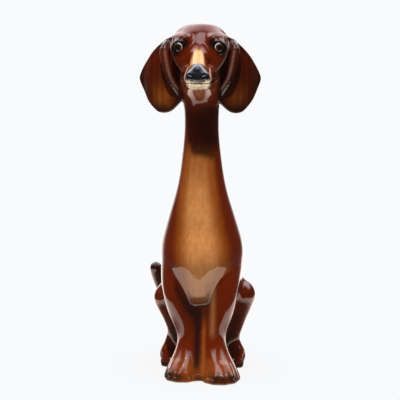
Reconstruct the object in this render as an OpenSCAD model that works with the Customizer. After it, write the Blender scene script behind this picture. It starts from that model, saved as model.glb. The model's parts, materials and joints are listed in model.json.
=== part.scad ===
// Seated long-necked dachshund figurine in glazed ceramic.
// It is built as its castings are: hollow torso and head, limbs, ears and tail luted on with slip.
// The dog faces -Y, +Z is up, and the figure stands on the plane z = 0.
// Its left side is +X. All places are for a figure 300 mm tall, and one scale sets the real height.

/* [Figure] */
// Height from the table to the top of the skull
figure_h = 300; // [220:10:400]
// Wall of the hollow castings
wall = 4.5; // [3.5:0.5:5.5]
// Bore of the vent under the torso, which lets air out in the kiln
vent_d = 3.6; // [3:0.2:3.8]

/* [Torso] */
// Widest part of the torso, across the shoulders
torso_w = 73; // [68:1:78]
// Outer radius of the round neck where the head is luted on
neck_r = 16; // [15:0.5:17]
// Height of the neck joint
neck_z = 232; // [228:1:236]

/* [Head] */
// Distance between the outer edges of the ears
ear_span = 105; // [98:1:112]
// Thickness of the ear flaps
ear_t = 8; // [6:0.5:10]
// Radius of the eyeballs
eye_r = 5.6; // [5:0.2:6]

/* [Legs] */
// Width over both front paws
paw_span = 62; // [58:1:66]
// Width over both knees of the hind legs
knee_span = 86; // [80:1:90]

/* [Hidden] */

left = 1;
right = -1;
model_h = 300;
k = figure_h / model_h;
glaze_brown = [0.40, 0.15, 0.05];
glaze_dark = [0.22, 0.08, 0.04];
glaze_black = [0.05, 0.05, 0.06];
eye_white = [0.85, 0.82, 0.78];

ball_fn = 26;
ring_fn = 44;
cavity_fn = 28;
ring_step = 6;
cavity_step = 10;

// Torso sections: height, half width, centre in Y, half depth
torso = [
    [0, 23, 25, 26],
    [12, 27, 24, 31],
    [30, 29, 22, 34.5],
    [52, 32, 17, 37.5],
    [76, 0.48 * torso_w, 10, 40],
    [97, 0.5 * torso_w, 5, 39.5],
    [111, 0.48 * torso_w, 2.5, 37],
    [126, 30.8, 0.5, 32.5],
    [140, 26.6, -1, 28],
    [156, 22.2, -2.5, 23],
    [172, 18.9, -3.5, 19],
    [190, 16.6, -4, 16.8],
    [210, 15, -4, 15.5],
    [neck_z, neck_r, -4, neck_r]
];
neck_y = -4;
// Middle of the whole figure in Y, before it is centred on the origin
middle_y = 2.9;
floor_t = 6;
// Gap left for slip round the sprigs set into the face
slip = 0.12;

// Limb stations: x, y, z and radius, for the left side
chest_top = [0, -8, 100, 27];
chest_low = [0, -22, 73.6, 11];
shoulder = [20.5, -9, 90, 15.2];
elbow = [19.3, -14, 78, 14.6];
foreleg = [[19, -14.5, 77, 14], [17.5, -19, 62, 12.5], [10.6, -30, 36, 10.5]];
web = [[4, -18, 60, 8], [4, -29, 34, 8], [4, -43, 8, 8]];
paw_x = 0.5 * paw_span - 14;
paw = [[paw_x - 2.5, -35, 14, 14], [paw_x, -43, 9, 14]];
toe_angles = [-40, -14, 13, 40];
toe_reach = 10.5;
toe_r = 6.6;
knee = [0.5 * knee_span - 12.2, 7.5, 61.5, 12.2];
thigh = [19.5, 28, 49, 18.5];
shin_top = knee + [0.1, -1, -1.2, -0.2];
ankle = [23.5, 13, 29, 7.6];
hock = [23, 24, 10, 9.5];
hind_paw = [0.5 * knee_span - 15.6, 10.5, 8.5, 10];
hind_toe_angles = [-32, 0, 32];
hind_toe_reach = 7.2;
hind_toe_r = 5.4;
// The front legs lean towards the left side as they go down, and the haunches sit a little that way
lean = 3.5;
lean_from = 92;
haunch_x = 2.5;
hind_foot_x = 1;
// The right front paw stands further back than the left, and the left knee is higher than the right
set_back_from = 60;
left_paw_back = 2;
right_paw_back = 8;
left_knee_up = 3.2;
tail_line = [[-3, 50, 18, 9], [-13, 55, 28, 9], [-25, 54, 42, 8.6], [-34, 48.5, 58, 8], [-40.4, 42.5, 73, 6.6],
    [-43.2, 38.5, 81.6, 5.2]];
// Air passages from the torso into a front leg and into a thigh, and the step where the hind feet are cut off
foreleg_vent = [[16, -8, 82, 2], [19, -13, 76, 2]];
thigh_vent = [[20, 20, 54, 2], [30, 16, 56, 2]];
vent_y = 24;
foot_cut_z = 26;

// Head stations
skull_l = [7.5, -8, 281.5, 18.5];
occiput = [0, 0, 270, 20];
jaw_back = [0, -8, 258, 18.5];
cheek = [9, -20, 269, 13];
muzzle = [0, -45, 261.5, 10];
chin = [0, -41, 254.5, 8.5];
eye = [16.9, -21.6, 282.5];
nose_at = [0, -49.5, 264];
nose_r = 6.2;
nose_tilt = 14;
nose_stretch = [1.42, 1, 1.1];

// Ear flaps lie in a plane turned back from the front of the face
ear_turn = 33;
ear_root = [21.5, -7, 287];
ear_wide = [0.5 * ear_span - 15.5, 0, 257.5];
ear_low = [31, -4, 237.5];
ear_top_r = 5.5;
ear_wide_r = 17;
ear_low_r = 12.5;

function mix(a, b, t) = a + (b - a) * t;

// Catmull-Rom value of column c at height z in a table whose first column is the height
function row_below(rows, z) = max([for (i = [0 : len(rows) - 2]) rows[i][0] <= z ? i : 0]);
function smooth(rows, c, z) =
    let (
        i = row_below(rows, z),
        n = len(rows) - 1,
        p0 = rows[max(i - 1, 0)], p1 = rows[i], p2 = rows[i + 1], p3 = rows[min(i + 2, n)],
        h = p2[0] - p1[0],
        t = (z - p1[0]) / h,
        m1 = (p2[c] - p0[c]) / (p2[0] - p0[0]) * h,
        m2 = (p3[c] - p1[c]) / (p3[0] - p1[0]) * h
    )
    (2 * pow(t, 3) - 3 * t * t + 1) * p1[c] + (pow(t, 3) - 2 * t * t + t) * m1
    + (3 * t * t - 2 * pow(t, 3)) * p2[c] + (pow(t, 3) - t * t) * m2;

function heights(from, to, step) =
    let (n = ceil((to - from) / step)) [for (i = [0 : n]) mix(from, to, i / n)];

// Closed loft of elliptic rings through the torso table, each ring pulled in by the wall
module torso_loft(from, to, step, pull, sides) {
    zs = heights(from, to, step);
    n = len(zs);
    points = [for (z = zs) for (j = [0 : sides - 1])
        let (a = 360 * j / sides)
        [(smooth(torso, 1, z) - pull) * sin(a), smooth(torso, 2, z) + (smooth(torso, 3, z) - pull) * cos(a), z]];
    walls = [for (i = [0 : n - 2]) for (j = [0 : sides - 1])
        let (m = (j + 1) % sides) for (f = [
            [i * sides + j, i * sides + m, (i + 1) * sides + j],
            [i * sides + m, (i + 1) * sides + m, (i + 1) * sides + j]]) f];
    base = [for (j = [1 : sides - 2]) [0, j + 1, j]];
    top = [for (j = [1 : sides - 2]) [(n - 1) * sides, (n - 1) * sides + j, (n - 1) * sides + j + 1]];
    polyhedron(points = points, faces = concat(walls, base, top), convexity = 4);
}

module bead(s, pull = 0) {
    translate([s[0], s[1], s[2]]) sphere(r = s[3] - pull, $fn = ball_fn);
}

module limb(a, b, pull = 0) {
    hull() {
        bead(a, pull);
        bead(b, pull);
    }
}

module chain(stations, pull = 0) {
    for (i = [0 : len(stations) - 2]) limb(stations[i], stations[i + 1], pull);
}

module on_side(side) {
    mirror([side == right ? 1 : 0, 0, 0]) children();
}

module above(z) {
    intersection() {
        children();
        translate([-model_h, -model_h, z]) cube(2 * model_h);
    }
}

// Outside of the torso, which the limbs are cut to fit
module torso_outside() {
    torso_loft(0, neck_z, ring_step, 0, ring_fn);
    limb(chest_top, chest_low);
    for (side = [left, right]) on_side(side) limb(shoulder, elbow);
}

// Hollow of the torso, open at the neck
module torso_hollow() {
    torso_loft(floor_t, neck_z - 1, cavity_step, wall, cavity_fn);
    translate([0, neck_y, neck_z - 3]) cylinder(r = neck_r - wall, h = 12, $fn = cavity_fn);
    limb(chest_top, chest_low, wall);
}

// Air passages from the hollow limbs into the torso
module limb_vents() {
    for (side = [left, right]) on_side(side) {
        chain(foreleg_vent);
        chain(thigh_vent);
    }
}

// Low collar on the neck that centres the head
module neck_collar(clearance = 0) {
    translate([0, neck_y, neck_z - 2])
        cylinder(r = neck_r - 0.5 * wall + clearance, h = 6 + clearance, $fn = ring_fn);
}

module body() {
    color(glaze_brown) difference() {
        union() {
            torso_outside();
            neck_collar();
        }
        torso_hollow();
        limb_vents();
        translate([0, vent_y, -1]) cylinder(d = vent_d, h = floor_t + 3, $fn = cavity_fn);
    }
}

module head_outside(pull = 0) {
    hull() for (side = [left, right]) on_side(side) bead(skull_l, pull);
    hull() {
        for (side = [left, right]) on_side(side) bead(skull_l, pull);
        bead(occiput, pull);
    }
    limb(occiput, jaw_back, pull);
    hull() {
        bead(jaw_back, pull);
        translate([0, neck_y, neck_z]) cylinder(r = neck_r - pull, h = 1, $fn = ring_fn);
    }
}

module face_outside() {
    hull() for (side = [left, right]) on_side(side) bead(cheek);
    hull() {
        for (side = [left, right]) on_side(side) bead(cheek);
        bead(muzzle);
    }
    hull() {
        bead(jaw_back);
        bead(chin);
    }
    limb(muzzle, chin);
}

module head() {
    color(glaze_brown) difference() {
        above(neck_z) {
            head_outside();
            face_outside();
        }
        head_outside(wall);
        neck_collar(0.1);
        for (side = [left, right]) on_side(side) translate(eye) sphere(r = eye_r + slip, $fn = ball_fn);
        nose_shape(slip);
    }
}

module eyeball(side) {
    color(eye_white) on_side(side) translate(eye) sphere(r = eye_r, $fn = ball_fn);
}

module nose_shape(gap = 0) {
    translate(nose_at) rotate([nose_tilt, 0, 0]) scale(nose_stretch) sphere(r = nose_r + gap, $fn = ball_fn);
}

module nose() {
    color(glaze_black) nose_shape();
}

// One flattened ball of the ear flap
module ear_pad(p, r) {
    translate(p) rotate([0, 0, ear_turn]) scale([1, 0.5 * ear_t / r, 1]) sphere(r = r, $fn = ball_fn);
}

module ear(side) {
    color(glaze_dark) on_side(side) difference() {
        union() {
            hull() {
                translate(ear_root) sphere(r = ear_top_r, $fn = ball_fn);
                ear_pad(ear_wide, ear_wide_r);
            }
            hull() {
                ear_pad(ear_wide, ear_wide_r);
                ear_pad(ear_low, ear_low_r);
            }
        }
        head_outside();
        face_outside();
    }
}

// Toes fan out from the middle of a paw
module toes(middle, angles, reach, r) {
    for (a = angles) {
        tip = [middle[0] + reach * sin(a), middle[1] - reach * cos(a), r - 0.6, r];
        limb([middle[0], middle[1], middle[2] - 1, r + 1], tip);
    }
}

// The part of a shape beyond a plane x = from and above the table
module outboard(from, above_table) {
    intersection() {
        children();
        translate([from, -model_h, above_table]) cube([model_h, 2 * model_h, model_h]);
    }
}

// A station moved sideways by the lean and back by the set of the paw at its height, on the given side
function leaned(s, side) =
    let (
        back = side == left ? left_paw_back : right_paw_back,
        low = max(0, 1 - s[2] / set_back_from)
    )
    [s[0] + side * lean * (1 - s[2] / lean_from), s[1] + back * low, s[2], s[3]];

module front_leg(side) {
    stations = [for (s = concat(foreleg, paw)) leaned(s, side)];
    pad = leaned(paw[1], side);
    seam = side * 0.5 * lean;
    color(glaze_brown) difference() {
        on_side(side) difference() {
            outboard(seam, 0) {
                chain(stations);
                chain([for (s = web) leaned(s, side)]);
                toes(pad, toe_angles, toe_reach, toe_r);
            }
            outboard(seam + wall, wall) chain(stations, wall);
        }
        torso_outside();
    }
}

module haunch(side, shift = haunch_x) {
    translate([shift, 0, 0]) on_side(side) children();
}

module hind_leg(side) {
    raise = [0, 0, side == left ? left_knee_up : 0, 0];
    color(glaze_dark) difference() {
        haunch(side) difference() {
            union() {
                limb(thigh, knee + raise);
                limb(shin_top + raise, ankle);
            }
            limb(thigh, knee + raise, wall);
        }
        haunch(side, hind_foot_x) hind_foot_outside();
        torso_outside();
    }
}

module hind_foot_outside() {
    above(0) {
        limb(hock, hind_paw);
        limb(ankle, hock);
        limb([ankle[0], ankle[1], ankle[2] - 5, ankle[3]], hind_paw);
        toes(hind_paw, hind_toe_angles, hind_toe_reach, hind_toe_r);
    }
}

module hind_foot(side) {
    color(glaze_dark) difference() {
        haunch(side, hind_foot_x) intersection() {
            hind_foot_outside();
            translate([-model_h, -model_h, 0]) cube([2 * model_h, 2 * model_h, foot_cut_z]);
        }
        torso_outside();
    }
}

module tail() {
    color(glaze_dark) difference() {
        chain(tail_line);
        torso_outside();
        haunch(right) limb(thigh, knee);
    }
}

module placed() {
    scale(k) translate([0, -middle_y, 0]) children();
}

placed() body();
placed() head();
placed() ear(left);  // ear_left
placed() ear(right);  // ear_right
placed() eyeball(left);  // eye_left
placed() eyeball(right);  // eye_right
placed() nose();
placed() front_leg(left);  // foreleg_left
placed() front_leg(right);  // foreleg_right
placed() hind_leg(left);  // hind_leg_left
placed() hind_leg(right);  // hind_leg_right
placed() hind_foot(left);  // hind_foot_left
placed() hind_foot(right);  // hind_foot_right
placed() tail();
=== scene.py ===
import json
import math

import bpy
import numpy as np
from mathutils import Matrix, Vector

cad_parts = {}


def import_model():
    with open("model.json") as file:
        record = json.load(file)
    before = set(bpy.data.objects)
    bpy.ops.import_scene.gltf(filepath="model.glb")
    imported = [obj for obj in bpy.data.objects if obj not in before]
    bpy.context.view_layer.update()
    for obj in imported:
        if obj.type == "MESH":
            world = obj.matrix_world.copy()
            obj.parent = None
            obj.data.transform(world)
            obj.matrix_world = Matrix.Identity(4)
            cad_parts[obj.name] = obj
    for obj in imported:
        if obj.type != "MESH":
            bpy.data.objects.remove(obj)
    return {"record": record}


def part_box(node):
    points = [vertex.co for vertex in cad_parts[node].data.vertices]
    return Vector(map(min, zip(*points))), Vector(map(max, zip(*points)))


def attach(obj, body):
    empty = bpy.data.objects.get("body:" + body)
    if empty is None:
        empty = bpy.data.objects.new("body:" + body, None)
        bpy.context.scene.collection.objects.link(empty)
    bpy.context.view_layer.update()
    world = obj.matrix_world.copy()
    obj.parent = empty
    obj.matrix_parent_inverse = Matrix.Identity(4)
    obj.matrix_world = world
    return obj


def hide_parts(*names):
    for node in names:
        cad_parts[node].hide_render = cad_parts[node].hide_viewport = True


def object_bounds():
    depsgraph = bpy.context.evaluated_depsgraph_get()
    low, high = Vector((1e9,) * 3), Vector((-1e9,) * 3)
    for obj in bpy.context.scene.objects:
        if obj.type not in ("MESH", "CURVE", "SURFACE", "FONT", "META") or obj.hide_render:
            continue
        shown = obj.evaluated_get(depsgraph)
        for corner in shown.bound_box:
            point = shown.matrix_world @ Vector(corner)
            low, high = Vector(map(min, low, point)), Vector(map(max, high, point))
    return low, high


# A glazed ceramic figurine of a seated long-necked dachshund.
# Each piece is sculpted as a distance field in millimetres, for a figure 300 mm tall that faces -Y,
# and is meshed where the field is zero. The frame's own boxes give the scale and the place.

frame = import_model()
cad_low, cad_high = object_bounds()

FINE = 1.0


# ---------------------------------------------------------------- place in the frame

EYE = np.array([16.9, -21.6, 282.5])


def middle(node):
    low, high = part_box(node)
    return np.array((low + high) / 2)


EYE_GAP = middle("eye_left") - middle("eye_right")
UNIT = EYE_GAP[0] / (2 * EYE[0])
SHIFT = middle("eye_left") / UNIT - EYE


def to_frame(points):
    """Sculpting millimetres to the frame's metres."""
    return (points + SHIFT) * UNIT


# ---------------------------------------------------------------- distance fields

def length(v):
    return np.sqrt((v * v).sum(-1))


def union(a, b, k):
    """Smooth union: the fillet between the two shapes is about k wide."""
    h = np.maximum(k - np.abs(a - b), 0) / k
    return np.minimum(a, b) - h * h * k / 4


def meet(a, b, k):
    """Smooth intersection."""
    return -union(-a, -b, k)


def ball(p, at, r):
    return length(p - np.array(at)) - r


def egg(p, at, radii):
    """Ellipsoid along the axes."""
    q = (p - np.array(at)) / np.array(radii)
    k = length(q)
    g = length(q / np.array(radii))
    return k * (k - 1) / np.maximum(g, 1e-6)


def cone(p, a, b):
    """Round cone between two stations, each x, y, z and radius."""
    a, b = np.array(a, float), np.array(b, float)
    axis = b[:3] - a[:3]
    l2 = axis @ axis
    shrink = a[3] - b[3]
    slant2 = l2 - shrink * shrink
    pa = p - a[:3]
    y = pa @ axis
    z = y - l2
    x2 = ((pa * l2 - axis * y[:, None]) ** 2).sum(1)
    y2, z2 = y * y * l2, z * z * l2
    k = np.sign(shrink) * shrink * shrink * x2
    side = (np.sqrt(x2 * slant2 / l2) + y * shrink) / l2 - a[3]
    end_a = np.sqrt(x2 + y2) / l2 - a[3]
    end_b = np.sqrt(x2 + z2) / l2 - b[3]
    return np.where(np.sign(z) * slant2 * z2 > k, end_b, np.where(np.sign(y) * slant2 * y2 < k, end_a, side))


def spline(knots, values):
    """Natural cubic spline through values at knots, as a function."""
    knots, values = np.array(knots, float), np.array(values, float)
    n = len(knots)
    h = np.diff(knots)
    m = np.eye(n)
    rhs = np.zeros(n)
    for i in range(1, n - 1):
        m[i, i - 1:i + 2] = h[i - 1], 2 * (h[i - 1] + h[i]), h[i]
        rhs[i] = 6 * ((values[i + 1] - values[i]) / h[i] - (values[i] - values[i - 1]) / h[i - 1])
    bend = np.linalg.solve(m, rhs)

    def at(t):
        t = np.clip(t, knots[0], knots[-1])
        i = np.clip(np.searchsorted(knots, t) - 1, 0, n - 2)
        u, v, w = knots[i + 1] - t, t - knots[i], h[i]
        return (bend[i] * u**3 + bend[i + 1] * v**3) / (6 * w) \
            + (values[i] / w - bend[i] * w / 6) * u + (values[i + 1] / w - bend[i + 1] * w / 6) * v

    return at


def loft(rows):
    """Tube of level elliptical sections: height, middle x, middle y, half width, half depth."""
    columns = list(zip(*sorted(rows)))
    x, y, a, b = (spline(columns[0], c) for c in columns[1:])
    low, high = columns[0][0], columns[0][-1]

    def field(p):
        z = np.clip(p[:, 2], low, high)
        a_z, b_z = a(z), b(z)
        u, v = (p[:, 0] - x(z)) / a_z, (p[:, 1] - y(z)) / b_z
        k = np.hypot(u, v)
        d = k * (k - 1) / np.maximum(np.hypot(u / a_z, v / b_z), 1e-6)
        past = np.abs(p[:, 2] - z)
        return np.where(past > 0, np.hypot(np.maximum(d, 0), past) + np.minimum(d, 0), d)

    field.half_width = a
    field.middle_y = y
    return field


def swept(stations, steps=4):
    """Tube of round cones through a smooth curve of stations, each x, y, z and radius."""
    columns = np.array(stations, float).T
    t = np.arange(columns.shape[1])
    fine = np.linspace(0, t[-1], steps * t[-1] + 1)
    dense = np.stack([spline(t, c)(fine) for c in columns], 1)

    def field(p):
        d = cone(p, dense[0], dense[1])
        for a, b in zip(dense[1:-1], dense[2:]):
            d = union(d, cone(p, a, b), 1)
        return d

    return field


def mirrored(p, side):
    q = p.copy()
    q[:, 0] *= side
    return q


def step_up(x, low, high):
    """0 below low, 1 above high, smooth between."""
    t = np.clip((x - low) / (high - low), 0, 1)
    return t * t * (3 - 2 * t)


# ---------------------------------------------------------------- the dog

LEFT, RIGHT = 1, -1
SIDES = {"left": LEFT, "right": RIGHT}
NECK_SEAM = 232.0

torso = loft([
    (-6, 0.5, 25, 23, 26),
    (12, 0.5, 24, 27, 31),
    (30, 0.5, 22, 29, 34.5),
    (52, 0.6, 17, 32, 37.5),
    (76, 0.9, 10, 34.8, 40),
    (97, 1, 5, 36.3, 39.5),
    (111, 1.1, 2.5, 35.6, 37),
    (126, 1.1, 0.5, 31.8, 32.5),
    (140, 1, -1, 27.6, 28),
    (156, 1, -2.5, 22.8, 23),
    (172, 1.1, -3.5, 19.3, 19),
    (190, 1.1, -4, 16.8, 16.8),
    (210, 1.1, -4, 15, 15.5),
    (NECK_SEAM, 1.1, -4, 15.4, 16),
    (256, 0.6, -6, 17.4, 18),
])

# The front legs lean to the left as they go down, and the haunches and hind feet sit a little that way
LEAN = 3.5
LEAN_FROM = 92
HAUNCH_X = 2.5
LEFT_HAUNCH_WIDER = 0.8
FOOT_X = 1.0
# The left knee is the higher one, and the right front paw stands further back
KNEE_UP = 3.5
PAW_BACK = {LEFT: 2, RIGHT: 8}
PAW_BACK_FROM = 60


def foreleg(side):
    """Leg and paw in one, with the sideways lean that both front legs share."""
    def row(z, x, front, back, a):
        slid = (front + back) / 2 + PAW_BACK[side] * max(0, 1 - z / PAW_BACK_FROM) ** 0.7
        return z, side * x + LEAN * (1 - z / LEAN_FROM), slid, a, (back - front) / 2

    return loft([
        row(104, 18, -18, 4, 7),
        row(92, 19.6, -25, 6, 11),
        row(80, 20, -29.5, 4.5, 13),
        row(66, 18.4, -32.6, -2.5, 13),
        row(50, 14.6, -35.4, -8, 11.8),
        row(37, 10.9, -37.8, -12.5, 10.6),
        row(27, 10.8, -42, -14.5, 10.8),
        row(17, 12.8, -50, -15.5, 12.8),
        row(9, 15, -56, -15.5, 14.8),
        row(3, 16.2, -58, -15.5, 16),
        row(-4, 16.6, -61.4, -15.5, 18.2),
    ])


LEGS = {side: foreleg(side) for side in (LEFT, RIGHT)}
PAW_MIDDLE = (16.2, -41)
TOE_ANGLES = (-48, -17, 14, 45)
TOE_REACH = (11.2, 13.8)


def toes(p, side):
    """Low swellings of the toes round the front of a paw."""
    q = p.copy()
    q[:, 0] = side * (q[:, 0] - LEAN)
    q[:, 1] -= PAW_BACK[side]
    d = np.full(len(p), 1e3)
    for angle in TOE_ANGLES:
        out = np.array([math.sin(math.radians(angle)), -math.cos(math.radians(angle))]) * TOE_REACH
        tip = (PAW_MIDDLE[0] + out[0], PAW_MIDDLE[1] + out[1], 4.4, 4.8)
        knuckle = (PAW_MIDDLE[0] + 0.56 * out[0], PAW_MIDDLE[1] + 0.5 * out[1], 11.4, 4.6)
        sole = (tip[0], tip[1], -4, 6.4)
        d = union(d, union(cone(q, tip, knuckle), cone(q, tip, sole), 0.5), 1.8)
    return d


def haunch_side(p, side, x, up=0):
    """The points as the hind leg of one side sees them, moved sideways, and raised at the left knee."""
    q = p.copy()
    q[:, 0] = side * (q[:, 0] - x)
    if side == LEFT:
        q[:, 2] -= up * step_up(q[:, 2], 30, 70)
    return q


def hind_leg(p, side):
    q = haunch_side(p, side, HAUNCH_X + (LEFT_HAUNCH_WIDER if side == LEFT else 0), KNEE_UP)
    thigh = cone(q, (16.2, 30.5, 44, 21), (30.8, 6.5, 61.5, 12.3))
    shin = cone(q, (31, 6, 61.5, 12.2), (23.4, 10.5, 30, 7.2))
    return union(thigh, shin, 5)


HIND_TOE_ANGLES = (-40, 0, 40)


def hind_foot(p, side):
    q = haunch_side(p, side, FOOT_X)
    d = cone(q, (24.5, 22, 9, 9), (27.4, 9.5, 8.4, 10))
    d = union(d, cone(q, (24, 11.5, 28, 7.2), (27, 10.5, 13, 9)), 5)
    for angle in HIND_TOE_ANGLES:
        out = (6.6 * math.sin(math.radians(angle)), -7.8 * math.cos(math.radians(angle)))
        tip = (27.4 + out[0], 9 + out[1], 4.6, 5)
        toe = union(cone(q, tip, (27 + 0.4 * out[0], 9.4 + 0.4 * out[1], 12.5, 4.6)),
                    cone(q, tip, (tip[0], tip[1], -4, 3.6)), 0.5)
        d = union(d, toe, 1.8)
    return d


tail = swept([(-3, 50, 18, 9), (-13, 55, 28, 9), (-25, 54, 42, 8.6), (-34, 48.5, 58, 8),
              (-40.4, 42.5, 73, 6.6), (-43.2, 38.5, 81.6, 5.2)])


def chest(p):
    return cone(p, (0, -9, 100, 28.5), (0, -23.6, 73.6, 10))


def smooth_mirror(p, width):
    """Both sides of the head in one: x becomes its size, rounded off near the middle."""
    q = p.copy()
    q[:, 0] = np.sqrt(q[:, 0] ** 2 + width * width)
    return q


EYE_R = 5.5
LID_R = 6.5
LID_FRONT = 4.1
HEAD_TURN = 0.022
GAZE_OUT = {LEFT: 12, RIGHT: 10}


def gaze(side, outward=None):
    """Direction an eye looks in."""
    a = math.radians(GAZE_OUT[side] if outward is None else outward)
    v = np.array([side * math.sin(a), -math.cos(a), 0.05])
    return v / np.linalg.norm(v)


LID_AXIS = gaze(LEFT, 0)
# Half width of the face at each height, out to the crease in front of the ears
FACE_HALF = spline((252, 257, 262, 266, 270, 275, 280, 286, 293, 300),
                   (7, 10.5, 14, 17.4, 20.4, 22.8, 24.2, 24.6, 24.4, 24))
BRIDGE_TOP = (0, -22, 275.8, 8.4)


def lids(q):
    """Shell of the eyelids round the eye, open to the front, on the side x > 0."""
    v = q - EYE
    return meet(length(v) - LID_R, v @ LID_AXIS - LID_FRONT, 1.3)


def mouth_height(y):
    """Height of the line between the lips, which rises a little towards the cheeks."""
    return 253.5 + 0.003 * np.maximum(y + 46, 0) ** 2


def head_form(p):
    p = p.copy()
    p[:, 0] -= HEAD_TURN * np.maximum(-p[:, 1] - 20, 0)
    q = smooth_mirror(p, 1.0)
    d = union(cone(p, (-8.4, -4, 284, 16.2), (8.4, -4, 284, 16.2)), ball(p, (0, -2.5, 279), 20.9), 7)
    d = union(d, ball(p, (0, 5, 275.5), 20), 8)
    d = union(d, cone(p, (0, -4, 262, 18), (0.8, -5, 240, 15.6)), 6)
    cheeks = union(ball(q, (10.5, -11.5, 272.5), 15.2), ball(q, (12.5, -13.2, 281.5), 10.6), 6)
    d = union(d, meet(cheeks, np.abs(p[:, 0]) - FACE_HALF(p[:, 2]), 1.6), 4)
    bridge = union(cone(p, (0, -12, 287.8, 6.4), BRIDGE_TOP), cone(p, BRIDGE_TOP, (0, -43.2, 262.8, 6.6)), 2)
    flews = cone(q, (6.3, -41.2, 258.2, 5.6), (5.5, -20, 262, 8.5))
    chin = cone(q, (0, -38.6, 251.6, 4.6), (6.4, -37.2, 253.6, 3.6))
    jaw = union(chin, cone(q, (4.6, -36, 252.4, 4.5), (5, -16, 253, 11)), 1)
    muzzle = union(bridge, flews, 3)
    muzzle = union(muzzle, jaw, 1.2)
    d = union(d, cone(p, (0, -18.5, 251, 12.5), (0, -8, 240, 13)), 3)
    d = union(d, muzzle, 4)
    brow = cone(q, (12.5, -20.6, 289.6, 2.6), (18, -17.4, 289.2, 3.4))
    d = union(d, brow, 7)
    d = union(d, lids(q), 3)
    lips = np.exp(-((p[:, 2] - mouth_height(p[:, 1])) / 0.7) ** 2)
    return d + 1.0 * lips * step_up(-p[:, 1], 14, 26)


EAR_TURN = math.radians(34)
EAR_ROOT = np.array([24.0, -10.0, 0.0])
EAR_THICK = 3.2
EAR_THIN = 1.5
# Corners of the flap seen from the front: distance from the middle, and height
EAR_OUTLINE = [(12, 286), (19, 291), (26, 290.2), (35.4, 282.4), (46, 270), (53, 258.4), (53.2, 250.4),
               (46.4, 238), (38.6, 228.4), (31.8, 225.4), (25, 227.6), (18, 235.6), (12, 246), (9, 262),
               (9, 277)]
EAR_BEND = spline((-20, -8, -2, 6, 14, 24, 36), (4.5, 4, 2.4, 0.2, -1, -0.4, 2.6))
EAR_FOLD = [(26, -5, 287, 2.6), (30, -12, 279.5, 3.7), (28.2, -13.6, 266, 3.7), (24.4, -13.6, 254.5, 3.3),
            (18.6, -11.5, 245, 2.8), (16.4, -9, 238.6, 2.3)]
# Lowest corner of the grid that the ear's outline is drawn on
GRID_LEFT, GRID_LOW = -20, 205


def outline_table(outline):
    """Signed distance to a smooth closed outline, on a half millimetre grid."""
    n = len(outline)
    wrapped = np.array([outline[i % n] for i in range(-3, n + 4)], float).T
    t = np.arange(-3, n + 4)
    fine = np.arange(0, n, 0.125)
    x, z = (spline(t, w)(fine) for w in wrapped)
    u, w = np.meshgrid(np.arange(GRID_LEFT, 90, 0.5), np.arange(GRID_LOW, 310, 0.5), indexing="ij")
    nearest = np.full(u.shape, 1e6)
    inside = np.zeros(u.shape, bool)
    for ax, az, bx, bz in zip(x, z, np.roll(x, -1), np.roll(z, -1)):
        run, rise = bx - ax, bz - az
        along = np.clip(((u - ax) * run + (w - az) * rise) / (run ** 2 + rise ** 2), 0, 1)
        nearest = np.minimum(nearest, np.hypot(u - ax - along * run, w - az - along * rise))
        crosses = (az > w) != (bz > w)
        inside ^= crosses & (u < ax + (w - az) / (rise if rise else 1) * run)
    return np.where(inside, -nearest, nearest)


def looked_up(table, u, w):
    """Bilinear value of an outline table."""
    i = np.clip((u - GRID_LEFT) * 2, 0, table.shape[0] - 1.001)
    j = np.clip((w - GRID_LOW) * 2, 0, table.shape[1] - 1.001)
    a, b = i.astype(int), j.astype(int)
    f, g = i - a, j - b
    near = table[a, b] * (1 - f) * (1 - g) + table[a + 1, b] * f * (1 - g)
    return near + table[a, b + 1] * (1 - f) * g + table[a + 1, b + 1] * f * g


EAR_TABLE = outline_table([(EAR_ROOT[0] + (x - EAR_ROOT[0]) / math.cos(EAR_TURN), z) for x, z in EAR_OUTLINE])


def ear_plane(p, side):
    """Across, through and up in the ear's own plane, which turns back from the cheek."""
    q = mirrored(p, side) - EAR_ROOT
    out = q[:, 0] * math.cos(EAR_TURN) + q[:, 1] * math.sin(EAR_TURN)
    back = q[:, 1] * math.cos(EAR_TURN) - q[:, 0] * math.sin(EAR_TURN)
    return out, back, q[:, 2]


ear_folds = swept(EAR_FOLD)
EAR_WIDER = {LEFT: 0.93, RIGHT: 1.03}


def ear(p, side):
    """Flap that hangs from the skull: a leaf outline with a rolled front edge."""
    out, back, up = ear_plane(p, side)
    across = out / np.where(out > 0, EAR_WIDER[side], 1)
    leaf = looked_up(EAR_TABLE, EAR_ROOT[0] + across, up)
    ripple = 0.4 * np.cos((out + 0.15 * up) * 0.42) * step_up(283 - up, 0, 14)
    thick = EAR_THIN + (EAR_THICK - EAR_THIN) * step_up(-leaf, 0, 12)
    edge = np.maximum(leaf + EAR_THIN, 0)
    d = np.hypot(edge, back - EAR_BEND(out) + ripple) - thick
    return union(d, ear_folds(mirrored(p, side)), 1.8)


NOSE_AT = np.array([0.6, -48.6, 262.2])


def nose_form(p):
    q = smooth_mirror(p - NOSE_AT, 0.7)
    d = egg(q, (0, 5, 1.4), (6.9, 8.6, 7))
    d = union(d, ball(q, (5.0, 0.4, -2.2), 4.9), 3)
    d = union(d, ball(q, (0, -0.4, -3.2), 4.6), 2)
    nostril = union(cone(q, (3.2, -5.6, -1.6, 1.0), (6.6, -3.6, -0.6, 0.8)),
                    cone(q, (3.2, -5.6, -1.6, 1.0), (4.6, -4.8, -3.6, 0.7)), 0.4)
    d = meet(d, -nostril, 0.8)
    groove = np.exp(-(((p[:, 0] - NOSE_AT[0]) / 0.5) ** 2)) * step_up(NOSE_AT[2] - 2 - p[:, 2], 0, 3)
    return d + 0.45 * groove


def leg(side):
    return lambda p: union(LEGS[side](p), toes(p, side), 3)


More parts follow.
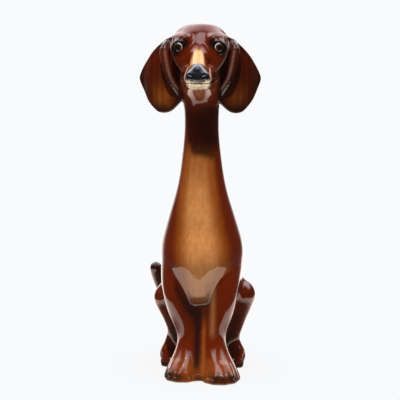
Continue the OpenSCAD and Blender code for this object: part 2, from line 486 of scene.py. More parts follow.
def web(p):
    """Clay that fills the gap between the front legs, behind a shallow groove."""
    upper = cone(p, (0.6, -20, 66, 8), (2.2, -27, 34, 8))
    return union(upper, cone(p, (2.2, -27, 34, 8), (3.4, -40, 6, 8.5)), 3)


def neck_and_chest(p):
    return np.maximum(np.minimum(torso(p), chest(p)), p[:, 2] - NECK_SEAM)


def skull_and_neck(p):
    return np.maximum(np.minimum(head_form(p), torso(p)), NECK_SEAM - p[:, 2])


GROUNDS = {
    "body": neck_and_chest,
    "head": skull_and_neck,
    "tail": tail,
}
for word, side in SIDES.items():
    GROUNDS["ear_" + word] = lambda p, side=side: ear(p, side)
    GROUNDS["foreleg_" + word] = leg(side)
    GROUNDS["hind_leg_" + word] = lambda p, side=side: hind_leg(p, side)
    GROUNDS["hind_foot_" + word] = lambda p, side=side: hind_foot(p, side)

HIGH = ("body", "head", "ear_left", "ear_right")
LOW = ("body", "tail", "foreleg_left", "foreleg_right", "hind_leg_left", "hind_leg_right",
       "hind_foot_left", "hind_foot_right")
WAIST = 160.0


def by_height(p, low, high):
    """One field below the waist and another above it."""
    under = p[:, 2] < WAIST
    d = np.empty(len(p))
    if under.any():
        d[under] = low(p[under])
    if not under.all():
        d[~under] = high(p[~under])
    return d


def upper_half(p):
    d = union(torso(p), head_form(p), 4)
    for side in SIDES.values():
        d = union(d, ear(p, side), 2.2)
    return d


def lower_half(p):
    d = torso(p)
    for side in SIDES.values():
        d = union(d, union(hind_foot(p, side), hind_leg(p, side), 3.5), 6)
    d = union(d, tail(p), 2.5)
    front = union(leg(LEFT)(p), leg(RIGHT)(p), 5)
    front = union(front, web(p), 3)
    front = union(front, chest(p), 3)
    return meet(union(d, front, 8), -p[:, 2], 1.4)


def dog(p):
    """The whole glazed outside."""
    return by_height(p, lower_half, upper_half)


TONGUE_TURN = 0.5


def piece_field(name):
    """The glazed outside over a piece's own ground, and a tongue that dives under its neighbours past it."""
    def past(names):
        def field(p):
            own = GROUNDS[name](p)
            others = np.min([GROUNDS[other](p) for other in names if other != name], axis=0)
            return np.maximum((own - others) / 2, 0)
        return field

    def field(p):
        out = by_height(p, past(LOW), past(HIGH))
        return dog(p) + 1.3 * (np.hypot(out, TONGUE_TURN) - TONGUE_TURN)

    return field


# ---------------------------------------------------------------- meshing

CORNERS = np.array([(i, j, k) for i in (0, 1) for j in (0, 1) for k in (0, 1)])
CELL_EDGES = [(a, b) for a in range(8) for b in range(a + 1, 8) if np.abs(CORNERS[a] - CORNERS[b]).sum() == 1]
STEEPEST = 1.7


def sampled(field, axes):
    """Field values on a grid, worked out in full only near the surface, from coarse blocks to fine."""
    step = axes[0][1] - axes[0][0]
    size = tuple(len(a) for a in axes)
    values = None
    for block in (8, 4, 2, 1):
        centres = [a[0] + step * (block * np.arange(-(-len(a) // block)) + (block - 1) / 2) for a in axes]
        shape = tuple(len(c) for c in centres)
        if values is None:
            near = np.ones(shape, bool)
            values = np.zeros(shape)
        else:
            reach = STEEPEST * step * 3 ** 0.5 * (block + 0.5)
            for axis in range(3):
                values = np.repeat(values, 2, axis)
            values = values[:shape[0], :shape[1], :shape[2]].copy()
            near = np.abs(values) < reach
        i, j, k = np.nonzero(near)
        points = np.stack([centres[0][i], centres[1][j], centres[2][k]], 1)
        chunks = np.array_split(points, max(len(points) // 60000, 1))
        values[near] = np.concatenate([field(chunk) for chunk in chunks])
    return values[:size[0], :size[1], :size[2]]


def surface_net(field, low, high, step):
    """Quad mesh of the field's zero surface: points and faces."""
    axes = [np.arange(a - 2 * step, b + 3 * step, step) for a, b in zip(low, high)]
    values = sampled(field, axes)
    cells = tuple(n - 1 for n in values.shape)

    def corner(c):
        return values[tuple(slice(c[d], c[d] + cells[d]) for d in range(3))]

    inside = sum((corner(c) < 0).astype(np.int8) for c in CORNERS)
    active = (inside > 0) & (inside < 8)
    number = np.full(cells, -1, np.int64)
    number[active] = np.arange(active.sum())
    at = np.stack([corner(c)[active] for c in CORNERS])
    place = np.zeros((at.shape[1], 3))
    count = np.zeros(at.shape[1])
    for a, b in CELL_EDGES:
        crossed = (at[a] < 0) != (at[b] < 0)
        t = np.where(crossed, at[a] / np.where(crossed, at[a] - at[b], 1), 0)
        place += crossed[:, None] * (CORNERS[a] + t[:, None] * (CORNERS[b] - CORNERS[a]))
        count += crossed
    origin = np.array([a[0] for a in axes])
    points = origin + step * (np.stack(np.nonzero(active), 1) + place / count[:, None])
    quads = []
    sign = values < 0
    for d in range(3):
        e, f = (d + 1) % 3, (d + 2) % 3
        first = tuple(slice(0, -1) if a == d else slice(1, -1) for a in range(3))
        second = tuple(slice(1, None) if a == d else slice(1, -1) for a in range(3))
        for flip, change in ((False, sign[first] & ~sign[second]), (True, ~sign[first] & sign[second])):
            base = np.stack(np.nonzero(change), 1)
            base[:, e] += 1
            base[:, f] += 1
            ring = []
            for de, df in ((-1, -1), (0, -1), (0, 0), (-1, 0)):
                cell = base.copy()
                cell[:, e] += de
                cell[:, f] += df
                ring.append(number[tuple(cell.T)])
            quads.append(np.stack(ring[::-1] if flip else ring, 1))
    return points, np.concatenate(quads)


TETRA = np.array([(1, 1, 1), (1, -1, -1), (-1, 1, -1), (-1, -1, 1)]) / 3 ** 0.5


def probed(field, p, h):
    """Value and gradient of a field, from the four corners of a small tetrahedron."""
    corners = [field(p + h * t) for t in TETRA]
    gradient = sum(c[:, None] * t for c, t in zip(corners, TETRA)) * 3 / (4 * h)
    return sum(corners) / 4, gradient


def onto(p, value, gradient):
    """Points moved along the gradient to where the field is zero."""
    move = np.clip(value / np.maximum((gradient * gradient).sum(1), 0.1), -1, 1)
    return p - move[:, None] * gradient


def evened(p, quads):
    """Points halfway to the middle of their neighbours."""
    total = np.zeros_like(p)
    count = np.zeros(len(p))
    for a, b in ((0, 1), (1, 2), (2, 3), (3, 0)):
        for i, j in ((a, b), (b, a)):
            for axis in range(3):
                total[:, axis] += np.bincount(quads[:, i], p[quads[:, j], axis], len(p))
            count += np.bincount(quads[:, i], minlength=len(p))
    return (p + total / count[:, None]) / 2


def meshed(field, low, high, step):
    """Evenly spaced quads on the field's zero surface: points, faces and normals."""
    points, quads = surface_net(field, low, high, step)
    value, gradient = probed(field, points, 0.1)
    points = onto(points, value, gradient)
    points = evened(points, quads)
    points = onto(points, field(points), gradient)
    value, gradient = probed(field, points, 0.1)
    points = onto(points, value, gradient)
    value, gradient = probed(field, points, 0.1)
    return points, quads, gradient / np.maximum(length(gradient), 1e-9)[:, None]


def mesh_object(name, points, faces, normals):
    mesh = bpy.data.meshes.new(name)
    mesh.from_pydata(to_frame(points), [], faces)
    mesh.validate()
    mesh.polygons.foreach_set("use_smooth", np.ones(len(mesh.polygons), bool))
    mesh.normals_split_custom_set_from_vertices(normals)
    piece = bpy.data.objects.new(name, mesh)
    bpy.context.scene.collection.objects.link(piece)
    return piece


def tinted(piece, name, colours):
    layer = piece.data.color_attributes.new(name, "FLOAT_COLOR", "POINT")
    rgba = np.ones((len(colours), 4), np.float32)
    rgba[:, :3] = colours
    layer.data.foreach_set("color", rgba.ravel())


def marked(piece, name, values):
    layer = piece.data.attributes.new(name, "FLOAT", "POINT")
    layer.data.foreach_set("value", np.asarray(values, np.float32))


# ---------------------------------------------------------------- airbrushed colours, with painted highlights and shade

def srgb(r, g, b):
    """Linear colour from the 0 to 255 values a paint chip would have."""
    return np.array([c / 12.92 if c <= 0.04045 else ((c + 0.055) / 1.055) ** 2.4
                     for c in (r / 255, g / 255, b / 255)])


TAN = srgb(204, 138, 80)
HONEY = srgb(150, 80, 28)
RUST = srgb(96, 29, 2)
UMBER = srgb(74, 26, 8)
# Pale colour of the painted highlight on the lower cheeks.
PALE_CHEEK_HIGHLIGHT = srgb(156, 104, 80)
NECK = srgb(102, 34, 7)
# Near-black brown: dark paint, and also the colour of the painted shade.
DARK_BROWN_AND_SHADE = srgb(26, 10, 8)
BLACK = srgb(10, 8, 10)
GOLD = srgb(214, 152, 88)
# Pale colour of the painted highlights along the edges of the face, the muzzle and the ear rolls.
PALE_EDGE_HIGHLIGHT = srgb(222, 184, 168)
CREAM = srgb(255, 236, 196)
BISQUE = srgb(226, 196, 160)


def over(base, colour, amount):
    return base + (colour - base) * np.clip(amount, 0, 1)[:, None]


def bump_at(p, at, radius):
    """1 at a place, fading to 0 at about radius away."""
    v = (p - np.array(at)) / np.array(radius)
    return np.exp(-(v * v).sum(1) * 2)


# The bib wanders a little from side to side on its way up
BIB_MIDDLE = spline((60, 105, 131, 156, 200), (3, 3.2, 1, -0.8, 0))


def paint_body(p, n):
    """Tan bib down the front, shaded into red brown at the sides and dark brown at the back, with painted
    shade below the chest and on the left of the upper neck.
    """
    x, y, z = p.T
    inward = 1 - np.abs(x - BIB_MIDDLE(z)) / torso.half_width(z)
    base = np.tile(RUST, (len(p), 1))
    base = over(base, UMBER, step_up(y, 2, 22) * 0.75)
    front = step_up(-n[:, 1], -0.1, 0.55)
    widening = 0.16 * step_up(z, 120, 175)
    base = over(base, HONEY, front * step_up(inward + widening, 0.23, 0.55) * step_up(z, 60, 68))
    bib = front * step_up(inward + 0.4 * widening, 0.44, 0.82)
    # Painted shade on the front below the chest, between the legs.
    base = over(base, DARK_BROWN_AND_SHADE, 0.85 * front * step_up(64 - z, 0, 5))
    bib *= step_up(z, 62, 74) * (1 - 0.8 * step_up(z, 140, 198))
    base = over(base, TAN, bib)
    base = over(base, NECK, step_up(z, 186, 206))
    # Painted shade on the left of the upper neck.
    base = over(base, DARK_BROWN_AND_SHADE, step_up(z, 190, 204) * step_up(x, -6, 12) * 0.6)
    return over(base, DARK_BROWN_AND_SHADE, step_up(22 - z, 0, 18) * 0.6 * step_up(y, 0, 20))


def paint_foreleg(p, n):
    """Red brown, with painted shade in the groove between the legs and on the right leg under the chest, and
    painted highlights.
    """
    x, y, z = p.T
    base = np.tile(RUST * 1.05, (len(p), 1))
    base = over(base, HONEY, 0.5 * step_up(26 - z, 0, 14) * step_up(-n[:, 1] + 0.6 * n[:, 2], 0.1, 0.9))
    # Painted shade darkening the groove between the legs.
    groove_shade = np.exp(-((x - LEAN + 3.9) / (3.4 + 9 * step_up(z, 36, 70))) ** 2) * step_up(z, 4, 16)
    base = over(base, DARK_BROWN_AND_SHADE, 0.95 * groove_shade)
    # Painted shade at the top of the right leg, under the chest.
    shade_under_chest = step_up(x - LEAN, -26, -22) * np.exp(-((x - LEAN + 24.4 + (z - 80.7) * 0.6) / 4.5) ** 2)
    base = over(base, DARK_BROWN_AND_SHADE, 0.8 * shade_under_chest * step_up(z, 48, 56) * step_up(-y, 8, 14))
    # Painted highlight: a pale line beside the groove between the legs.
    ridge_highlight = np.exp(-((x - LEAN - 1.5) / 1.6) ** 2)
    base = over(base, HONEY, 0.8 * ridge_highlight * (1 - 0.85 * step_up(z, 40, 56)))
    # Painted reflection: a pale streak down the left leg.
    streak = np.exp(-((x - LEAN - 9) / 2.4) ** 2) * step_up(z, 32, 42) * step_up(-y, 8, 14)
    base = over(base, TAN, 0.4 * streak)
    base = over(base, UMBER, 0.8 * step_up(y + 22, 0, 14))
    return base


# Spots on the toes of each paw: across and forward from its middle, and size
TOE_SPOTS = {
    LEFT: [(-3.5, -16, 6.5), (3, -15.5, 7), (10, -12, 7.5), (14.5, -7, 6)],
    RIGHT: [(14, -7, 7), (9.5, -12, 8), (3, -15.5, 6.5)],
}


def paint_toes(base, p, side):
    """Black airbrushed on the toes."""
    for dx, dy, size in TOE_SPOTS[side]:
        at = (side * (PAW_MIDDLE[0] + dx) + LEAN, PAW_MIDDLE[1] + PAW_BACK[side] + dy, 4)
        base = over(base, BLACK, 1.1 * bump_at(p, at, (size, size, 7)))
    return base


def paint_hind(p):
    """Dark brown with a redder knee."""
    x, y, z = p.T
    base = np.tile(RUST * 0.62, (len(p), 1))
    knee = (math.copysign(33, x.mean()), -4, 60)
    base = over(base, RUST, 0.8 * bump_at(p, knee, (12, 14, 14)))
    base = over(base, DARK_BROWN_AND_SHADE, 0.6 * step_up(34 - z, 0, 12))
    return over(base, UMBER, 0.5 * step_up(y, 14, 30))


def paint_foot(p):
    base = np.tile(RUST * 0.8, (len(p), 1))
    return over(base, BLACK, step_up(10 - p[:, 2], 0, 9) * 0.85)


def paint_tail(p):
    base = np.tile(UMBER, (len(p), 1))
    return over(base, DARK_BROWN_AND_SHADE, 0.8 * step_up(p[:, 2], 60, 84))


# Half width of the muzzle at each height, along the edge that runs from the nose to the lips
MUZZLE_HALF = spline((250, 254, 262, 270, 276), (11.8, 11.6, 10.2, 7.6, 5))


def paint_head(p):
    """Dark crown and sockets, golden bridge, pale lips, and painted highlights: thin pale lines along the
    edges of the face and muzzle, and pale patches on the lower cheeks and under the jaw.
    """
    x, y, z = p.T
    q = smooth_mirror(p, 0.1)
    base = np.tile(RUST * 0.85, (len(p), 1))
    base = over(base, UMBER, step_up(y, -12, 6) * 0.8)
    base = over(base, UMBER, step_up(z, 284, 296) * 0.6)
    base = over(base, NECK, step_up(262 - z, 0, 16) * step_up(y, -36, -20))
    # Painted highlights: a pale patch under the jaw, and pale patches on the lower cheeks.
    base = over(base, HONEY, 0.6 * bump_at(q, (4, -28, 245), (12, 14, 9)))
    base = over(base, PALE_CHEEK_HIGHLIGHT, 0.5 * bump_at(q, (15, -14, 259), (5, 24, 9)))
    bridge_half = 3.4 + 0.34 * np.maximum(279 - z, 0)
    bridge = step_up(bridge_half - np.abs(x + 0.2), -1.4, 1.8) * step_up(-y, 22, 27)
    bridge *= step_up(282.5 - z, 0, 4) * step_up(z, 263, 268)
    base = over(base, GOLD, bridge)
    round_eye = bump_at(q, EYE + (-1.5, -3, 2.5), (6.5, 9, 5.5))
    beside_eye = bump_at(q, EYE + (-5, -2, 4), (5, 9, 4.5))
    base = over(base, DARK_BROWN_AND_SHADE, 1.5 * (round_eye + 0.8 * beside_eye))
    base = over(base, BLACK, step_up(-lids(q), -1.0, -0.2))
    # Painted highlight: a thin pale line along each edge of the face.
    edge = np.exp(-((np.abs(x) - FACE_HALF(z)) / 0.65) ** 2) * step_up(-y, 8, 12) * step_up(z, 261, 266)
    base = over(base, PALE_EDGE_HIGHLIGHT, 0.85 * edge * step_up(294 - z, 0, 4))
    # Painted highlight: thin pale lines along the edges of the muzzle.
    edge = np.exp(-((np.abs(x - NOSE_AT[0]) - MUZZLE_HALF(z)) / 0.45) ** 2)
    edge *= step_up(-y, 30, 36) * step_up(272 - z, 0, 3)
    base = over(base, PALE_EDGE_HIGHLIGHT, 0.8 * edge)
    lips = np.exp(-((z - mouth_height(y) + 0.6) / 3.9) ** 4) * step_up(-y, 30, 38)
    base = over(base, CREAM, lips)
    line = np.exp(-((z - mouth_height(y)) / 0.6) ** 2) * step_up(-y, 14, 26)
    base = over(base, UMBER, 0.75 * line)
    round_nose = bump_at(p, NOSE_AT + (0, 3, 0), (10.5, 8, 9.5))
    return over(base, BLACK, 1.3 * round_nose * step_up(z, 256, 259))


# Distance of the crest of the ear's front roll from the middle, at each height
FOLD_CREST = spline((236, 240, 244, 253.3, 264.3, 280), (12.4, 14.2, 16.8, 23.1, 26.9, 29.5))


def paint_ear(p, side):
    """Dark streaked flap with a glow low down, brighter on the right ear, and a painted highlight along the
    front roll.
    """
    out, back, up = ear_plane(p, side)
    base = np.tile(RUST * (0.8 if side == RIGHT else 0.5), (len(p), 1))
    glow = np.exp(-((out - 9) / 9) ** 2 - ((up - 237) / 12) ** 2)
    base = over(base, HONEY, glow * (0.85 if side == RIGHT else 0.35))
    stripes = 0.5 + 0.5 * np.cos(out * 1.05 + 0.02 * up)
    base = over(base, DARK_BROWN_AND_SHADE, 0.35 * stripes * step_up(out, 2, 8))
    rim = step_up(np.abs(out - 15), 13, 21) + step_up(236 - up, 0, 9)
    base = over(base, DARK_BROWN_AND_SHADE, 0.85 * rim)
    top = step_up(up, 274, 288)
    base = over(base, DARK_BROWN_AND_SHADE, 0.8 * top)
    # Painted highlight: a faint pale line along the front roll.
    crest = np.exp(-((np.abs(p[:, 0]) - FOLD_CREST(p[:, 2])) / 1.1) ** 2) * step_up(-back, 0, 2)
    return over(base, PALE_EDGE_HIGHLIGHT, 0.16 * crest * step_up(284 - up, 0, 8))


def bare_sole(p):
    """Unglazed clay shows where the figure stands, with a thin line of it round each foot."""
    return step_up(1.15 - p[:, 2], 0, 0.5)


# ---------------------------------------------------------------- materials

def node_tree(name):
    material = bpy.data.materials.new(name)
    material.use_nodes = True
    tree = material.node_tree
    shader = next(n for n in tree.nodes if n.type == "BSDF_PRINCIPLED")
    return material, tree, shader


def add(tree, kind, inputs=(), **settings):
    node = tree.nodes.new(kind)
    for key, value in settings.items():
        setattr(node, key, value)
    for key, value in dict(inputs).items():
        if isinstance(value, bpy.types.NodeSocket):
            tree.links.new(value, node.inputs[key])
        else:
            node.inputs[key].default_value = value
    return node


def noise(tree, scale, stretch=(1, 1, 1), detail=3.0, roughness=0.5):
    """Noise in the object's own coordinates, about scale features a metre."""
    where = add(tree, "ShaderNodeTexCoord")
    mapping = add(tree, "ShaderNodeMapping", {"Vector": where.outputs["Object"], "Scale": stretch})
    return add(tree, "ShaderNodeTexNoise", {"Vector": mapping.outputs["Vector"], "Scale": scale,
                                            "Detail": detail, "Roughness": roughness}).outputs["Fac"]


def ranged(tree, value, low, high, to_low, to_high):
    return add(tree, "ShaderNodeMapRange", {"Value": value, "From Min": low, "From Max": high,
                                            "To Min": to_low, "To Max": to_high}).outputs["Result"]


def mixed(tree, factor, a, b, blend="MIX"):
    node = add(tree, "ShaderNodeMix", data_type="RGBA", blend_type=blend)
    for key, value in (("Factor_Float", factor), ("A_Color", a), ("B_Color", b)):
        socket = next(s for s in node.inputs if s.identifier == key)
        if isinstance(value, bpy.types.NodeSocket):
            tree.links.new(value, socket)
        else:
            socket.default_value = value
    return next(s for s in node.outputs if s.identifier == "Result_Color")


def glaze(name, streak=0.11):
    """Clear gloss glaze over airbrushed underglaze: streaks, mottle, a bare sole, dark where it pools in
    grooves and pale where it runs thin over ridges."""
    material, tree, shader = node_tree(name)
    paint = add(tree, "ShaderNodeVertexColor", layer_name="paint").outputs["Color"]
    streaks = noise(tree, 1.0, (420, 420, 26), 4, 0.6)
    dark = ranged(tree, streaks, 0.35, 0.7, 1 - streak, 1 + streak)
    tone = add(tree, "ShaderNodeCombineColor", {"Red": dark, "Green": dark, "Blue": dark}).outputs["Color"]
    colour = mixed(tree, 1.0, paint, tone, "MULTIPLY")
    mottle = ranged(tree, noise(tree, 260, detail=6), 0.3, 0.75, 0.0, 0.42)
    colour = mixed(tree, mottle, colour, mixed(tree, 1.0, colour, (0.62, 0.5, 0.42, 1), "MULTIPLY"))
    pool = add(tree, "ShaderNodeAttribute", attribute_name="pool").outputs["Fac"]
    colour = mixed(tree, pool, colour, mixed(tree, 1.0, colour, (0.35, 0.24, 0.2, 1), "MULTIPLY"))
    thin = ranged(tree, add(tree, "ShaderNodeAttribute", attribute_name="thin").outputs["Fac"], 0, 1, 0, 0.7)
    colour = mixed(tree, thin, colour, mixed(tree, 1.0, colour, (2.2, 2.2, 2.0, 1), "MULTIPLY"))
    bare = add(tree, "ShaderNodeAttribute", attribute_name="bare").outputs["Fac"]
    grit = ranged(tree, noise(tree, 1800, detail=4), 0.3, 0.7, 0.0, 0.3)
    clay = mixed(tree, grit, (*BISQUE, 1), (*(BISQUE * 0.6), 1))
    tree.links.new(mixed(tree, bare, colour, clay), shader.inputs["Base Color"])
    tree.links.new(ranged(tree, bare, 0, 1, 0.3, 0.85), shader.inputs["Roughness"])
    tree.links.new(ranged(tree, bare, 0, 1, 1.0, 0.0), shader.inputs["Coat Weight"])
    shader.inputs["Specular IOR Level"].default_value = 0.1
    shader.inputs["Coat Roughness"].default_value = 0.025
    shader.inputs["Coat IOR"].default_value = 1.55
    flow = noise(tree, 70, (1, 1, 0.6), 2)
    skin = noise(tree, 900, detail=2)
    wavy = add(tree, "ShaderNodeBump", {"Height": flow, "Strength": 0.35, "Distance": 0.0005})
    peel = add(tree, "ShaderNodeBump", {"Height": skin, "Strength": 0.12, "Distance": 0.0001,
                                        "Normal": wavy.outputs["Normal"]})
    for key in ("Normal", "Coat Normal"):
        tree.links.new(peel.outputs["Normal"], shader.inputs[key])
    return material


def eye_enamel():
    """White with a painted brown iris and black pupil, by the angle from the gaze, and painted shade
    darkening the white towards the lids.
    """
    material, tree, shader = node_tree("eye_enamel")
    angle = add(tree, "ShaderNodeAttribute", attribute_name="angle").outputs["Fac"]
    wobble = ranged(tree, noise(tree, 700, detail=3), 0.2, 0.8, -1.6, 1.6)
    angle = add(tree, "ShaderNodeMath", {0: angle, 1: wobble}, operation="ADD").outputs[0]
    ramp = add(tree, "ShaderNodeValToRGB", {"Fac": ranged(tree, angle, 0, 90, 0, 1)})
    # Painted shade: the white darkens from the iris out towards the lids, where it turns dark brown.
    stops = [(0.0, BLACK), (0.2, BLACK), (0.26, srgb(62, 28, 18)), (0.4, srgb(34, 15, 12)),
             (0.45, srgb(222, 208, 204)), (0.62, srgb(190, 168, 164)), (0.7, DARK_BROWN_AND_SHADE)]
    elements = ramp.color_ramp.elements
    elements[1].position = stops[-1][0]
    elements[1].color = (*stops[-1][1], 1)
    elements[0].color = (*stops[0][1], 1)
    for place, colour in stops[1:-1]:
        elements.new(place).color = (*colour, 1)
    tree.links.new(ramp.outputs["Color"], shader.inputs["Base Color"])
    shader.inputs["Roughness"].default_value = 0.12
    shader.inputs["Coat Weight"].default_value = 1.0
    shader.inputs["Coat Roughness"].default_value = 0.02
    return material


def nose_enamel():
    """Black, with a painted slate grey highlight on top."""
    material, tree, shader = node_tree("nose_enamel")
    speckle = ranged(tree, noise(tree, 900, detail=4), 0.35, 0.75, 0, 0.5)
    black = mixed(tree, speckle, (*BLACK, 1), (*srgb(34, 38, 48), 1))
    facing = add(tree, "ShaderNodeTexCoord").outputs["Normal"]
    upward = add(tree, "ShaderNodeSeparateXYZ", {"Vector": facing}).outputs["Z"]
    # Painted highlight: slate grey where the nose faces upwards.
    painted_top_highlight = ranged(tree, upward, 0.45, 0.98, 0.0, 0.6)
    tree.links.new(mixed(tree, painted_top_highlight, black, (*srgb(104, 116, 136), 1)), shader.inputs["Base Color"])
    shader.inputs["Roughness"].default_value = 0.28
    shader.inputs["Coat Weight"].default_value = 1.0
    shader.inputs["Coat Roughness"].default_value = 0.15
    bumps = noise(tree, 1500, detail=3)
    skin = add(tree, "ShaderNodeBump", {"Height": bumps, "Strength": 0.3, "Distance": 0.0003})
    tree.links.new(skin.outputs["Normal"], shader.inputs["Normal"])
    return material


# ---------------------------------------------------------------- pieces

GLAZES = {
    "glaze_tan_brown": glaze("glaze_tan_brown"),
    "glaze_red_brown": glaze("glaze_red_brown"),
    "glaze_dark_brown": glaze("glaze_dark_brown"),
}

BOXES = {
    "body": ((-42, -44, -1), (42, 60, 240), 1.1),
    "head": ((-30, -52, 224), (30, 30, 302), 0.6),
    "ear_left": ((-2, -26, 216), (60, 34, 300), 0.7),
    "ear_right": ((-60, -26, 216), (2, 34, 300), 0.7),
    "foreleg_left": ((-6, -66, -1), (44, 14, 112), 0.8),
    "foreleg_right": ((-38, -66, -1), (12, 14, 112), 0.8),
    "hind_leg_left": ((4, -14, 10), (52, 62, 84), 0.9),
    "hind_leg_right": ((-48, -14, 10), (0, 62, 84), 0.9),
    "hind_foot_left": ((8, -10, -1), (46, 42, 40), 0.7),
    "hind_foot_right": ((-42, -10, -1), (-4, 42, 40), 0.7),
    "tail": ((-54, 30, 2), (14, 70, 94), 0.8),
}


def painted(name, p, n):
    side = RIGHT if name.endswith("right") else LEFT
    if name == "body":
        return paint_body(p, n)
    if name == "head":
        return paint_head(p)
    if name.startswith("ear"):
        return paint_ear(p, side)
    if name.startswith("foreleg"):
        return paint_toes(paint_foreleg(p, n), p, side)
    if name.startswith("hind_leg"):
        return paint_hind(p)
    if name.startswith("hind_foot"):
        return paint_foot(p)
    return paint_tail(p)


def bending(p, n, quads):
    """How far the surface bends at each point: above 0 in grooves, below 0 on ridges, per millimetre."""
    rise = np.zeros(len(p))
    count = np.zeros(len(p))
    for a, b in ((0, 2), (1, 3), (2, 0), (3, 1)):
        i, j = quads[:, a], quads[:, b]
        offset = p[j] - p[i]
        bend = (offset * n[i]).sum(1) / (offset * offset).sum(1)
        rise += np.bincount(i, bend, len(p))
        count += np.bincount(i, minlength=len(p))
    rise /= count
    for _ in range(3):
        rise = evened(rise[:, None].repeat(3, 1), quads)[:, 0]
    return rise


def within(field, low, high):
    """The field cut off at the sides of a box, which lie inside the neighbours."""
    middle_at, half = (np.array(high) + low) / 2, np.subtract(high, low) / 2
    return lambda p: np.maximum(field(p), (np.abs(p - middle_at) - half).max(1))


def sculpted(name):
    low, high, step = BOXES[name]
    points, quads, normals = meshed(within(piece_field(name), low, high), low, high, step * FINE)
    depth, gradient = probed(dog, points, 0.1)
    shown = depth > -0.8
    normals[shown] = gradient[shown] / length(gradient[shown])[:, None]
    piece = mesh_object(name + "_glazed", points, quads, normals)
    tinted(piece, "paint", painted(name, points, normals))
    bend = bending(points, normals, quads)
    marked(piece, "pool", step_up(bend, 0.03, 0.25))
    marked(piece, "thin", step_up(-bend, 0.1, 0.26))
    marked(piece, "bare", bare_sole(points))
    return piece


def record_slot(node):
    return next(s["material_slot"] for s in frame["record"]["subparts"] if s["node"] == node)


def placed(piece, node, material):
    piece.data.materials.append(material)
    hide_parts(node)
    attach(piece, "root")


def eyeball(side, name):
    """Eyeball with its poles on the gaze, and the angle from the gaze at each point."""
    rings, turns = 48, 64
    ahead = gaze(side)
    across = np.cross(ahead, (0, 0, 1))
    across /= np.linalg.norm(across)
    upward = np.cross(ahead, across)
    polar = np.linspace(0, math.pi, rings + 1)[1:-1]
    spin = np.linspace(0, 2 * math.pi, turns, endpoint=False)
    directions = [ahead]
    for a in polar:
        for b in spin:
            sideways = math.cos(b) * across + math.sin(b) * upward
            directions.append(math.cos(a) * ahead + math.sin(a) * sideways)
    directions.append(-ahead)
    directions = np.array(directions)
    angles = np.degrees(np.arccos(np.clip(directions @ ahead, -1, 1)))
    bulge = 0.3 * np.exp(-(angles / 30) ** 2)
    points = EYE * (side, 1, 1) + directions * (EYE_R + bulge)[:, None]
    ring = [[1 + i * turns + j for j in range(turns)] for i in range(rings - 1)]
    faces = [(0, ring[0][j], ring[0][(j + 1) % turns]) for j in range(turns)]
    for a, b in zip(ring[:-1], ring[1:]):
        faces += [(a[j], b[j], b[(j + 1) % turns], a[(j + 1) % turns]) for j in range(turns)]
    last = len(points) - 1
    faces += [(last, ring[-1][(j + 1) % turns], ring[-1][j]) for j in range(turns)]
    piece = mesh_object(name + "_enamelled", points, faces, directions)
    marked(piece, "angle", angles)
    return piece


for node in BOXES:
    placed(sculpted(node), node, GLAZES[record_slot(node)])

enamel = eye_enamel()
for word, side in SIDES.items():
    placed(eyeball(side, "eye_" + word), "eye_" + word, enamel)

points, quads, normals = meshed(nose_form, (-12, -58, 252), (12, -38, 274), 0.4 * FINE)
placed(mesh_object("nose_enamelled", points, quads, normals), "nose", nose_enamel())


# ---------------------------------------------------------------- floor, light and camera

FIGURE_H = cad_high[2] - cad_low[2]
AIM = Vector((0, 0, 0.4965 * FIGURE_H))
BACKDROP = (0.945, 0.955, 0.97, 1)
# Brightness of the overhead soft boxes, at the sides and in front
SIDE_BOXES = 3.4
FRONT_BOX = 3.4
WARM_WHITE = (1, 0.97, 0.93)
TABLE_IN_GLAZE = (1, 0.82, 0.73, 1)


def multiplied(tree, first, *others):
    for other in others:
        first = add(tree, "ShaderNodeMath", {0: first, 1: other}, operation="MULTIPLY").outputs[0]
    return first


def by_ray(tree, seen, mirrored_as, lit_as):
    """Strength that is one value to the camera, one in the glaze's reflections and one as soft light."""
    ray = add(tree, "ShaderNodeLightPath")
    soft = ranged(tree, ray.outputs["Is Diffuse Ray"], 0, 1, mirrored_as, lit_as)
    return add(tree, "ShaderNodeMix", {"Factor": ray.outputs["Is Camera Ray"], "A": soft, "B": seen},
               data_type="FLOAT").outputs["Result"]


def floor():
    """Pale table top with a faint contact shade. It glows evenly, and its warm reflection in the glaze
    fades towards the feet."""
    mesh = bpy.data.meshes.new("floor")
    near, far, half = -0.18, 0.9, 0.25
    mesh.from_pydata([(-half, near, 0), (half, near, 0), (half, far, 0), (-half, far, 0)], [], [(0, 1, 2, 3)])
    plane = bpy.data.objects.new("floor", mesh)
    bpy.context.scene.collection.objects.link(plane)
    material, tree, shader = node_tree("floor_white")
    tree.nodes.remove(shader)
    contact = add(tree, "ShaderNodeAmbientOcclusion", {"Distance": 0.1}, samples=16).outputs["AO"]
    shade = mixed(tree, contact, (0.9, 0.89, 0.885, 1), BACKDROP)
    mirrored_as = ranged(tree, contact, 0.88, 1.0, 0.06, 2.3)
    mirrored = add(tree, "ShaderNodeLightPath").outputs["Is Glossy Ray"]
    glow = add(tree, "ShaderNodeEmission", {"Color": mixed(tree, mirrored, shade, TABLE_IN_GLAZE),
                                            "Strength": by_ray(tree, 1.0, mirrored_as, 0.4)})
    out = next(n for n in tree.nodes if n.type == "OUTPUT_MATERIAL")
    tree.links.new(glow.outputs[0], out.inputs["Surface"])
    mesh.materials.append(material)


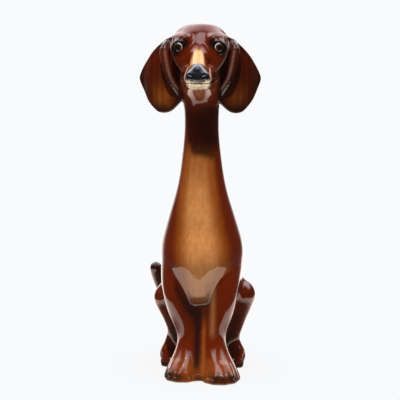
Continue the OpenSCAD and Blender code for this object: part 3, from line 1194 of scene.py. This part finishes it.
def world():
    """White backdrop to the eye. To the glaze it is bright behind the dog, dark in front, and has
    three soft boxes overhead: a wedge to the front and a wide one on each side."""
    sky = bpy.data.worlds.new("studio")
    bpy.context.scene.world = sky
    sky.use_nodes = True
    tree = sky.node_tree
    tree.nodes.clear()
    direction = add(tree, "ShaderNodeTexCoord").outputs["Generated"]
    split = add(tree, "ShaderNodeSeparateXYZ", {"Vector": direction})
    x, y, z = (split.outputs[axis] for axis in "XYZ")
    skewed = add(tree, "ShaderNodeMath", {0: x, 1: -0.12}, operation="MULTIPLY").outputs[0]
    behind = add(tree, "ShaderNodeMath", {0: y, 1: skewed}, operation="ADD").outputs[0]
    sweep = ranged(tree, behind, 0.76, 0.9, 0.0, 1.0)
    tint = mixed(tree, sweep, (0.03, 0.027, 0.027, 1), (1.0, 0.97, 0.96, 1))
    aside = add(tree, "ShaderNodeMath", {0: x}, operation="ABSOLUTE").outputs[0]
    boxes = multiplied(tree, ranged(tree, aside, 0.03, 0.36, 0.35 * SIDE_BOXES, SIDE_BOXES),
                       ranged(tree, y, -0.15, 0.15, 0.0, 1.0))
    half = ranged(tree, y, -0.55, -0.2, 0.44, 0.1)
    across = add(tree, "ShaderNodeMath", {0: aside, 1: half}, operation="DIVIDE").outputs[0]
    front_box = multiplied(tree, ranged(tree, across, 0.5, 1.1, FRONT_BOX, 0.0),
                           ranged(tree, y, -0.68, -0.5, 0.0, 1.0), ranged(tree, y, -0.27, -0.12, 1.0, 0.0))
    overhead = add(tree, "ShaderNodeMath", {0: boxes, 1: front_box}, operation="ADD").outputs[0]
    overhead = multiplied(tree, overhead, ranged(tree, z, 0.4, 0.65, 0.0, 1.0))
    overhead = multiplied(tree, overhead, by_ray(tree, 0.0, 1.0, 0.0))
    boxes = add(tree, "ShaderNodeBackground", {"Color": (1.0, 0.93, 0.96, 1), "Strength": overhead})
    sides = add(tree, "ShaderNodeBackground", {"Color": tint, "Strength": by_ray(tree, 1.0, 1.5, 0.7)})
    lit = add(tree, "ShaderNodeAddShader", {0: boxes.outputs[0], 1: sides.outputs[0]})
    seen = add(tree, "ShaderNodeBackground", {"Color": BACKDROP, "Strength": 1.0})
    ray = add(tree, "ShaderNodeLightPath")
    both = add(tree, "ShaderNodeMixShader", {0: ray.outputs["Is Camera Ray"], 1: lit.outputs[0],
                                             2: seen.outputs[0]})
    out = add(tree, "ShaderNodeOutputWorld")
    tree.links.new(both.outputs[0], out.inputs["Surface"])


def aimed(thing, place, target):
    thing.location = place
    thing.rotation_euler = (Vector(target) - Vector(place)).to_track_quat("-Z", "Y").to_euler()


def area_light(name, place, target, size, watts, colour=(1, 1, 1)):
    data = bpy.data.lights.new(name, "AREA")
    data.shape = "RECTANGLE"
    data.size = size
    data.size_y = size
    data.energy = watts
    data.color = colour
    lamp = bpy.data.objects.new(name, data)
    bpy.context.scene.collection.objects.link(lamp)
    aimed(lamp, place, target)
    lamp.visible_camera = False
    return lamp


def lip_light():
    """Narrow spot from low in front, which brings out the pale lips."""
    data = bpy.data.lights.new("lip_light", "SPOT")
    data.energy = 24
    data.spot_size = math.radians(3.4)
    data.spot_blend = 1.0
    data.shadow_soft_size = 0.02
    lamp = bpy.data.objects.new("lip_light", data)
    bpy.context.scene.collection.objects.link(lamp)
    aimed(lamp, (0.03, -0.65, 0.2), (0.001, -0.04, 0.2515))
    lamp.visible_glossy = False


def camera():
    """View from the front with a long lens, a little above the dog's head and towards its left."""
    azimuth, distance, height = math.radians(4), 1.3, 0.348
    data = bpy.data.cameras.new("camera")
    eye = bpy.data.objects.new("camera", data)
    bpy.context.scene.collection.objects.link(eye)
    aimed(eye, (distance * math.sin(azimuth), -distance * math.cos(azimuth), height), AIM)
    data.sensor_width = 36
    data.lens = 136.17
    data.shift_x = -0.0025
    bpy.context.scene.camera = eye


floor()
world()
key = area_light("key", (-0.04, -0.58, 1.353), (0, 0, 0.19), 0.045, 26, WARM_WHITE)
key.visible_glossy = False
area_light("sparkle", (-0.25, -0.75, 1.3), (0, 0, 0.1), 0.05, 0.15)
lip_light()
camera()
bpy.context.scene.view_settings.view_transform = "Standard"
